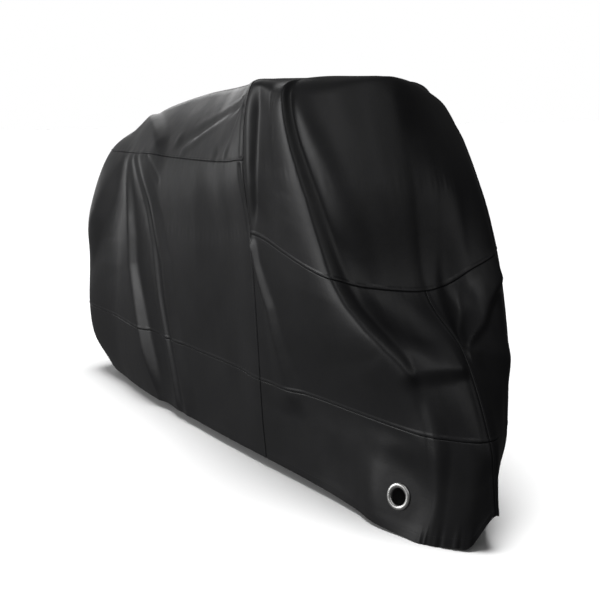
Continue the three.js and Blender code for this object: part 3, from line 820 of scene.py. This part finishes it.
def mesh_piece(name: str, points: np.ndarray, faces: np.ndarray,
               uvs: np.ndarray | None = None) -> bpy.types.Object:
    """A new object from points in metres and quads.

    Args:
        name: The piece's name.
        points: Points, n by 3.
        faces: Quads, m by 4.
        uvs: Where each point lies on the flat cloth, n by 2, in metres.

    Returns:
        The new object, at the origin.
    """
    mesh = bpy.data.meshes.new(name)
    mesh.from_pydata(points.tolist(), [], faces.tolist())
    if uvs is not None:
        layer = mesh.uv_layers.new(name="cloth")
        loops = np.empty(len(mesh.loops), np.int32)
        mesh.loops.foreach_get("vertex_index", loops)
        layer.data.foreach_set("uv", uvs[loops].astype(np.float32).ravel())
    mesh.validate()
    piece = bpy.data.objects.new(name, mesh)
    bpy.context.scene.collection.objects.link(piece)
    return piece


@dataclass(frozen=True)
class Stretch:
    """One run of columns of a panel, on one side, from one place along to another."""

    side: Side
    start: float
    end: float

    def ordered(self, places: np.ndarray) -> np.ndarray:
        """Rising places in the stretch's own order."""
        return places if self.start < self.end else places[::-1]


@dataclass
class ClothPanel:
    """One cut panel of the cover, as a thin sheet with its seam laps.

    Top and bottom are its places down the cloth. The flat size and the area are in metres.
    """

    name: str
    stretches: tuple[Stretch, ...]
    top: float
    bottom: float
    flat: tuple[float, float]
    area: float
    rests_on: tuple[str, ...] = ()
    step: float = 8.0
    thickness: float = 1.2
    gap: float = 0.25
    seam_steps: tuple[float, ...] = (1.3, 2.6, 5.5, 8.6, 10.8, 14.0)
    allowance: tuple[float, ...] = (9.0, 4.5, 0.5)
    tuck_depth: float = 2.8
    smooth_degrees: float = 50.0

    def rows(self) -> np.ndarray:
        """Places down the panel, closer together by its seams and hem."""
        sewn_top, sewn_bottom = self.top > 0.0, self.bottom < HEM
        return self._filled(self.top + self.gap * sewn_top, self.bottom - self.gap * sewn_bottom,
                            sewn_top, True)

    def columns(self, stretch: Stretch) -> np.ndarray:
        """Places along the panel, closer together by its upright seams.

        Args:
            stretch: The stretch of the panel.

        Returns:
            The places, in the stretch's order.
        """
        low, high = sorted((stretch.start, stretch.end))
        seam_low = low == SEAM_MIDDLE or (low == 0.0 and self.top > 0.0)
        seam_high = high == SEAM_MIDDLE or (high == FRONT_CENTRE and self.top > 0.0)
        return stretch.ordered(self._filled(low + self.gap * seam_low, high - self.gap * seam_high,
                                            seam_low, seam_high))

    def under(self, stretch: Stretch) -> np.ndarray:
        """Places along of the allowance that a front panel turns in under the rear panel."""
        front = min(stretch.start, stretch.end) == SEAM_MIDDLE
        return stretch.ordered(SEAM_MIDDLE - np.array(self.allowance if front else ()))

    def _filled(self, start: float, end: float, fine_start: bool, fine_end: bool) -> np.ndarray:
        """Places from start to end, a step apart.

        Args:
            start: The first place.
            end: The last place.
            fine_start: Whether the seam's steps are added at the start.
            fine_end: Whether they are added at the end.

        Returns:
            The places, rising.
        """
        head = [start + s for s in self.seam_steps if fine_start]
        tail = [end - s for s in self.seam_steps if fine_end]
        first, last = [start, *head][-1], [end, *tail][-1]
        count = max(int(round((last - first) / self.step)), 1)
        middle = np.linspace(first, last, count + 1)
        return np.unique(np.round(np.concatenate([[start, end], head, tail, middle]), 4))

    def grid(self, drape: Drape, stretch: Stretch) -> tuple[np.ndarray, np.ndarray]:
        """The outer face of one stretch with the allowances that it turns in.

        Args:
            drape: The cover's skin.
            stretch: The stretch of the panel.

        Returns:
            Points, n by m by 3, and their places on the flat cloth, n by m by 2, in millimetres.
        """
        side, rows, columns, under = stretch.side, self.rows(), self.columns(stretch), self.under(stretch)
        tuck = np.array([self.top - a for a in self.allowance if self.top > 0.0])
        downs = np.concatenate([tuck, rows])
        grid = np.concatenate([drape.tucked(Patch(side, columns, tuck), self.tuck_depth),
                               drape.face(Patch(side, columns, rows))], 1)
        depth = np.where(downs < self.top, 2.0, 1.0)[:, None] * self.tuck_depth
        blocks = [drape.tucked(Patch(side, under, downs), depth), grid]
        places = [under, columns]
        order = 1 if stretch.start < stretch.end else -1
        alongs = np.concatenate(places[::order]) * side.value
        return np.concatenate(blocks[::order]), np.stack(np.meshgrid(alongs, downs, indexing="ij"), -1)

    def build(self, drape: Drape, cloth: bpy.types.Material) -> bpy.types.Object:
        """Builds the sheet and dresses it.

        Args:
            drape: The cover's skin.
            cloth: The cloth's material.

        Returns:
            The finished piece.
        """
        grids, flats = zip(*[self.grid(drape, stretch) for stretch in self.stretches])
        grid, flat = (np.concatenate([kind[0], *[part[1:] for part in kind[1:]]]) for kind in (grids, flats))
        n, m = grid.shape[:2]
        index = np.arange(n * m).reshape(n, m)
        quads = np.stack([index[:-1, :-1], index[1:, :-1], index[1:, 1:], index[:-1, 1:]], -1).reshape(-1, 4)
        piece = mesh_piece(f"{self.name}_cloth", grid.reshape(-1, 3) * METRES, quads,
                           flat.reshape(-1, 2) * METRES)
        if self.top == 0.0:
            self._join_crown(piece)
        only(piece)
        solidify = piece.modifiers.new("cloth", "SOLIDIFY")
        solidify.thickness = self.thickness * METRES
        solidify.offset = -1.0
        bpy.ops.object.modifier_apply(modifier=solidify.name)
        bpy.ops.object.shade_smooth_by_angle(angle=math.radians(self.smooth_degrees))
        piece.data.materials.clear()
        piece.data.materials.append(cloth)
        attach(piece, "root")
        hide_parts(self.name)
        return piece

    def _join_crown(self, piece: bpy.types.Object, near: float = 1e-6, apart: float = 2e-5) -> None:
        """Joins the two sides of a panel where they meet on the crown.

        Args:
            piece: The panel's piece.
            near: How near the centre plane a point of the crown lies, in metres.
            apart: How far apart two points that are joined may lie, in metres.
        """
        mesh = bmesh.new()
        mesh.from_mesh(piece.data)
        crown = [v for v in mesh.verts if abs(v.co.y) < near]
        bmesh.ops.remove_doubles(mesh, verts=crown, dist=apart)
        mesh.to_mesh(piece.data)
        mesh.free()

    def declare(self) -> None:
        """Does nothing with the panel."""


@dataclass
class Topstitching:
    """Lockstitches beside the seams and round the hem, as small raised stitches."""

    pitch: float = 6.5
    length: float = 4.7     # of the thread that shows between two holes
    width: float = 1.1
    height: float = 0.7
    inset: float = 6.6
    hem_inset: float = 21.0
    end_gap: float = 2.0
    proud: float = 0.1
    sample: float = 1.5     # how far apart a row's line is worked out
    every: int = 4          # an upright row takes every fourth of these places
    ahead: float = 0.5      # how far ahead a stitch's direction is taken

    def runs(self) -> list[tuple[Side, Seam]]:
        """The rows of stitches. The rear centre seam, at 0, has none.

        Returns:
            Each row's side, and the row as a seam with its ends drawn in.
        """
        rows = [replace(seam, at=seam.at - self.inset * seam.level) for seam in SEAMS if seam.at > 0.0]
        rows.append(Seam(True, HEM - self.hem_inset, 0.0, FRONT_CENTRE))
        rows = [replace(row, start=row.start + self.end_gap, end=row.end - self.end_gap) for row in rows]
        return [(side, row) for side in Side for row in rows]

    def places(self, drape: Drape, side: Side, row: Seam) -> tuple[np.ndarray, np.ndarray, np.ndarray]:
        """Where the stitches of one row lie.

        Args:
            drape: The cover's skin.
            side: The row's side.
            row: The row.

        Returns:
            Their centres, directions and normals, each n by 3.
        """
        fine = np.arange(row.start, row.end, self.sample)
        if row.level:
            patch = Patch(side, fine, np.array([row.at]))
            line, normal = drape.face(patch)[:, 0], drape.normals(drape.skin, patch)[:, 0]
        else:
            inset = self.inset / drape.spacing(side, row.at, fine)
            spots = [Patch(side, np.array([row.at - i]), np.array([d]))
                     for i, d in zip(inset[::self.every], fine[::self.every])]
            wide = np.linspace(0, len(spots) - 1, len(fine))
            line, normal = (read_off(wide, np.arange(len(spots)), np.array(values)) for values in (
                [drape.face(spot)[0, 0] for spot in spots],
                [drape.normals(drape.skin, spot)[0, 0] for spot in spots]))
        run = np.concatenate([[0.0], np.cumsum(np.linalg.norm(np.diff(line, axis=0), axis=1))])
        marks = np.arange(self.pitch / 2, run[-1], self.pitch)
        centre, facing = read_off(marks, run, line), read_off(marks, run, normal)
        direction = read_off(marks + self.ahead, run, line) - centre
        size = np.maximum(np.linalg.norm(direction, axis=1, keepdims=True), TINY)
        return centre, direction / size, facing / np.linalg.norm(facing, axis=1, keepdims=True)

    def one_stitch(self) -> tuple[np.ndarray, np.ndarray]:
        """The form of one stitch, lying along X with Z up.

        Returns:
            Its points and quads.
        """
        bpy.ops.mesh.primitive_cube_add(size=1.0)
        stitch = bpy.context.object
        bpy.ops.object.mode_set(mode="EDIT")
        bpy.ops.mesh.select_all(action="SELECT")
        bpy.ops.mesh.subdivide(number_cuts=1)
        bpy.ops.object.mode_set(mode="OBJECT")
        points = np.array([v.co for v in stitch.data.vertices], float)
        points /= np.linalg.norm(points, axis=1, keepdims=True)
        quads = np.array([list(p.vertices) for p in stitch.data.polygons])
        bpy.data.objects.remove(stitch)
        return points * 0.5 * np.array([self.length, self.width, self.height]), quads

    def build(self, drape: Drape, thread: bpy.types.Material) -> bpy.types.Object:
        """Builds all the stitches as one piece.

        Args:
            drape: The cover's skin.
            thread: The thread's material.

        Returns:
            The finished piece.
        """
        shape, quads = self.one_stitch()
        stitches = []
        for side, row in self.runs():
            centre, direction, facing = self.places(drape, side, row)
            frames = np.stack([direction, np.cross(facing, direction), facing], 1)
            raised = (centre + facing * self.proud)[:, None]
            stitches.append(np.einsum("pk,nkc->npc", shape, frames) + raised)
        points = np.concatenate(stitches)
        starts = np.arange(len(points)) * len(shape)
        faces = (quads[None] + starts[:, None, None]).reshape(-1, 4)
        piece = mesh_piece("topstitching", points.reshape(-1, 3) * METRES, faces)
        only(piece)
        bpy.ops.object.shade_smooth()
        piece.data.materials.append(thread)
        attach(piece, "root")
        return piece


@dataclass
class Eyelet:
    """A rolled metal eyelet, gripping the cloth round its hole. The holes and the rim are radii."""

    side: Side
    hole: float = 24.0
    rim: float = 38.0
    cloth_hole: float = 25.6
    cutter_depth: float = 24.0
    cutter_steps: int = 64
    wall: float = 1.5
    play: float = 0.2
    crown: float = 4.6
    cloth_half: float = 0.6
    lip: float = 0.8
    fillet: float = 0.7         # height of the roll's foot, as a share of the wall
    back: float = 0.8           # height of the back, as a share of the front
    arc_steps: int = 13
    steps: int = 96
    smooth_degrees: float = 45.0

    def section(self) -> list[tuple[float, float]]:
        """The ring's section.

        Returns:
            Its points in order, as radius and height over the middle of the cloth.
        """
        grip = self.cloth_half + self.play
        middle, reach = (self.hole + self.rim) / 2, (self.rim - self.hole) / 2
        arc = [(middle + reach * math.cos(t), grip + self.wall * self.fillet + self.crown * math.sin(t))
               for t in np.linspace(0, math.pi, self.arc_steps)]
        front = [(self.hole + self.wall, grip), (self.rim - self.lip, grip), *arc]
        return [*front, *[(r, -z * self.back) for r, z in reversed(front)]]

    def build(self, drape: Drape, metal: bpy.types.Material) -> bpy.types.Object:
        """Spins the ring's section and sets it in its seat.

        Args:
            drape: The cover's skin, which has the seat.
            metal: The ring's material.

        Returns:
            The finished piece.
        """
        radius, height = np.array(self.section()).T
        turns = (2 * math.pi * np.arange(self.steps) / self.steps)[:, None]
        points = np.stack(np.broadcast_arrays(radius * np.cos(turns), radius * np.sin(turns), height), -1)
        index = np.arange(points[..., 0].size).reshape(self.steps, -1)
        after = np.roll(index, -1, 0)
        quads = np.stack([index, after, np.roll(after, -1, 1), np.roll(index, -1, 1)], -1).reshape(-1, 4)
        seat = drape.seats[self.side]
        place = points.reshape(-1, 3) @ np.array(seat.turn()).T + seat.centre - seat.normal * self.cloth_half
        name = f"eyelet_{self.side.name.lower()}"
        piece = mesh_piece(f"{name}_metal", place * METRES, quads)
        only(piece)
        bpy.ops.object.mode_set(mode="EDIT")
        bpy.ops.mesh.select_all(action="SELECT")
        bpy.ops.mesh.normals_make_consistent(inside=False)
        bpy.ops.object.mode_set(mode="OBJECT")
        bpy.ops.object.shade_smooth_by_angle(angle=math.radians(self.smooth_degrees))
        piece.data.materials.append(metal)
        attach(piece, "root")
        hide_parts(name)
        return piece

    def cut_hole(self, drape: Drape, panel: bpy.types.Object) -> None:
        """Cuts the eyelet's hole through its panel.

        Args:
            drape: The cover's skin, which has the seat.
            panel: The panel's piece.
        """
        seat = drape.seats[self.side]
        bpy.ops.mesh.primitive_cylinder_add(vertices=self.cutter_steps, radius=self.cloth_hole * METRES,
                                            depth=self.cutter_depth * METRES)
        tool = bpy.context.object
        tool.matrix_world = Matrix.Translation(Vector(seat.centre) * METRES) @ seat.turn().to_4x4()
        bpy.context.view_layer.update()
        only(panel)
        cut = panel.modifiers.new("hole", "BOOLEAN")
        cut.operation = "DIFFERENCE"
        cut.solver = "EXACT"
        cut.object = tool
        bpy.ops.object.modifier_apply(modifier=cut.name)
        bpy.data.objects.remove(tool)


def side_panels(side: Side) -> tuple[ClothPanel, ...]:
    """The four panels of one side.

    Args:
        side: Which side of the cover.

    Returns:
        The rear and front side panels, and the rear and front skirt panels.
    """
    name = side.name.lower()
    rear = (Stretch(side, *(0.0, SEAM_MIDDLE)[::side.value]),)
    front = (Stretch(side, *(SEAM_MIDDLE, FRONT_CENTRE)[::side.value]),)
    return (
        ClothPanel(f"rear_side_{name}", rear, SEAM_UPPER, SEAM_SKIRT, (1.92, 0.70), 1.28,
                   ("rear_top_panel",)),
        ClothPanel(f"front_side_{name}", front, SEAM_HOOD, SEAM_SKIRT, (0.86, 0.56), 0.36,
                   ("hood_panel",)),
        ClothPanel(f"skirt_rear_{name}", rear, SEAM_SKIRT, HEM, (1.92, 0.28), 0.50,
                   (f"rear_side_{name}",)),
        ClothPanel(f"skirt_front_{name}", front, SEAM_SKIRT, HEM, (0.92, 0.32), 0.26,
                   (f"front_side_{name}",)),
    )


PANELS = (
    ClothPanel("rear_top_panel", (Stretch(R, SEAM_MIDDLE, 0.0), Stretch(L, 0.0, SEAM_MIDDLE)),
               0.0, SEAM_UPPER, (1.75, 1.0), 1.34),
    ClothPanel("hood_panel", (Stretch(L, SEAM_MIDDLE, FRONT_CENTRE), Stretch(R, FRONT_CENTRE, SEAM_MIDDLE)),
               0.0, SEAM_HOOD, (1.3, 1.05), 0.80),
    *side_panels(R),
    *side_panels(L),
)


@dataclass(frozen=True)
class Softbox:
    """One square softbox: where it stands, what it is aimed at, its size and its power."""

    name: str
    place: tuple[float, float, float]
    aim: tuple[float, float, float]
    size: float
    power: float

    def hang(self) -> None:
        """Hangs the softbox in the scene."""
        lamp = bpy.data.lights.new(self.name, "AREA")
        lamp.energy = self.power
        lamp.size = self.size
        hung = bpy.data.objects.new(self.name, lamp)
        hung.location = self.place
        hung.rotation_euler = (Vector(self.aim) - Vector(self.place)).to_track_quat("-Z", "Y").to_euler()
        bpy.context.scene.collection.objects.link(hung)


@dataclass
class Studio:
    """The pale floor, the softboxes, the backdrop and the camera. Sizes are in metres."""

    floor_half: float = 30.0
    floor_sun: float = 3.3
    floor_sun_degrees: float = 34.0
    backdrop: float = 1.0
    ambient: float = 0.14
    ambient_far: float = 0.02
    ambient_from: tuple[float, float, float] = (-0.50, -0.80, 0.33)
    ambient_spread: float = 0.8
    azimuth: float = 63.86
    elevation: float = 10.83
    camera_place: tuple[float, float, float] = (3.43, -1.65, 1.19)
    focal_px: float = 1100.0
    image_px: float = 600.0
    sensor_mm: float = 36.0
    clip_end: float = 200.0
    boxes: tuple[Softbox, ...] = (
        Softbox("rear_low", (-5.7, -1.3, 0.7), (-0.1, 0.0, 0.6), 1.2, 6.5),
        Softbox("rear_middle", (-5.5, -0.8, 2.2), (-0.1, 0.0, 0.8), 1.4, 2.4),
        Softbox("rear_side", (-5.2, -2.2, 2.2), (-0.1, 0.0, 0.8), 1.4, 1.6),
        Softbox("rear_high", (-5.4, 0.8, 2.3), (-0.1, 0.0, 0.9), 1.1, 14.0),
        Softbox("rear_top", (-5.5, 0.5, 4.5), (-0.1, 0.0, 0.9), 2.5, 18.0),
        Softbox("side_low", (-0.6, -4.8, 1.0), (0.0, 0.0, 0.6), 2.2, 33.0),
        Softbox("hood_key", (-1.8, -4.6, 2.2), (0.3, -0.2, 0.9), 1.6, 46.0),
        Softbox("camera_top", (3.4, -1.8, 3.6), (0.3, 0.0, 0.8), 2.0, 9.0),
        Softbox("front_high", (4.6, 0.4, 3.2), (0.8, 0.0, 0.8), 2.6, 11.0),
        Softbox("front_top", (2.0, -1.4, 4.2), (0.6, 0.0, 0.8), 1.6, 7.5),
    )

    def floor(self) -> None:
        """Lays the pale floor."""
        bpy.ops.mesh.primitive_plane_add(size=2 * self.floor_half)
        floor = bpy.context.object
        floor.name = "floor"
        floor.data.materials.append(PaleSweep().make())
        floor.visible_diffuse = False
        floor.visible_glossy = False
        self._floor_light(floor)

    def _floor_light(self, floor: bpy.types.Object) -> None:
        """Hangs a broad overhead light that lights the floor alone.

        Args:
            floor: The floor.
        """
        lit = bpy.data.collections.new("floor_only")
        lit.objects.link(floor)
        sun = bpy.data.lights.new("floor_sun", "SUN")
        sun.energy = self.floor_sun
        sun.angle = math.radians(self.floor_sun_degrees)
        overhead = bpy.data.objects.new("floor_sun", sun)
        bpy.context.scene.collection.objects.link(overhead)
        overhead.light_linking.receiver_collection = lit

    def surround(self) -> None:
        """Sets the backdrop that the camera sees, and a dim light that comes mostly from one way."""
        world = bpy.data.worlds.new("backdrop")
        bpy.context.scene.world = world
        world.use_nodes = True
        tree = world.node_tree
        tree.nodes.clear()
        path = add_node(tree, "ShaderNodeLightPath")
        place = add_node(tree, "ShaderNodeTexCoord")
        toward = add_node(tree, "ShaderNodeVectorMath", {"operation": "DOT_PRODUCT"},
                          i0=place.outputs["Generated"], i1=self.ambient_from)
        soft = add_node(tree, "ShaderNodeMapRange", Value=toward.outputs["Value"],
                        From_Min=-self.ambient_spread, From_Max=self.ambient_spread,
                        To_Min=self.ambient_far, To_Max=self.ambient)
        strength = add_node(tree, "ShaderNodeMix", {"data_type": "FLOAT"}, A=soft.outputs["Result"],
                            B=self.backdrop, Factor=path.outputs["Is Camera Ray"])
        glow = add_node(tree, "ShaderNodeBackground", Color=(1.0, 1.0, 1.0, 1.0),
                        Strength=strength.outputs["Result"])
        add_node(tree, "ShaderNodeOutputWorld", Surface=glow.outputs["Background"])

    def camera(self) -> None:
        """Places the camera at the photograph's angle."""
        data = bpy.data.cameras.new("camera")
        data.sensor_width = self.sensor_mm
        data.lens = self.sensor_mm * self.focal_px / self.image_px
        data.clip_end = self.clip_end
        a, e = math.radians(self.azimuth), math.radians(self.elevation)
        back = Vector((math.sin(a) * math.cos(e), -math.cos(a) * math.cos(e), math.sin(e)))
        camera = bpy.data.objects.new("camera", data)
        camera.rotation_mode = "QUATERNION"
        camera.location = self.camera_place
        camera.rotation_quaternion = (-back).to_track_quat("-Z", "Y")
        bpy.context.scene.collection.objects.link(camera)
        bpy.context.scene.camera = camera

    def build(self) -> None:
        """Sets up the studio."""
        self.floor()
        for box in self.boxes:
            box.hang()
        self.surround()
        self.camera()
        bpy.context.scene.view_settings.view_transform = "Standard"


def report(piece: bpy.types.Object) -> None:
    """Logs one piece's faces and its size in metres."""
    LOG.info("%s: %d faces, %.3f by %.3f by %.3f", piece.name, len(piece.data.polygons), *piece.dimensions)


def main() -> None:
    """Builds and dresses the cover, piece by piece."""
    logging.basicConfig(level=logging.INFO, format="%(name)s %(message)s")
    Studio().build()
    drape = Drape()
    cloth, metal = CoatedPolyester().make(), NickelledBrass().make()
    thread = PolyesterThread().make()
    pieces = {panel.name: panel.build(drape, cloth) for panel in PANELS}
    for eyelet in map(Eyelet, Side):
        eyelet.cut_hole(drape, pieces[f"skirt_front_{eyelet.side.name.lower()}"])
        report(eyelet.build(drape, metal))
    report(Topstitching().build(drape, thread))
    for panel in PANELS:
        panel.declare()
        report(pieces[panel.name])
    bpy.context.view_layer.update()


if __name__ == "__main__":
    main()
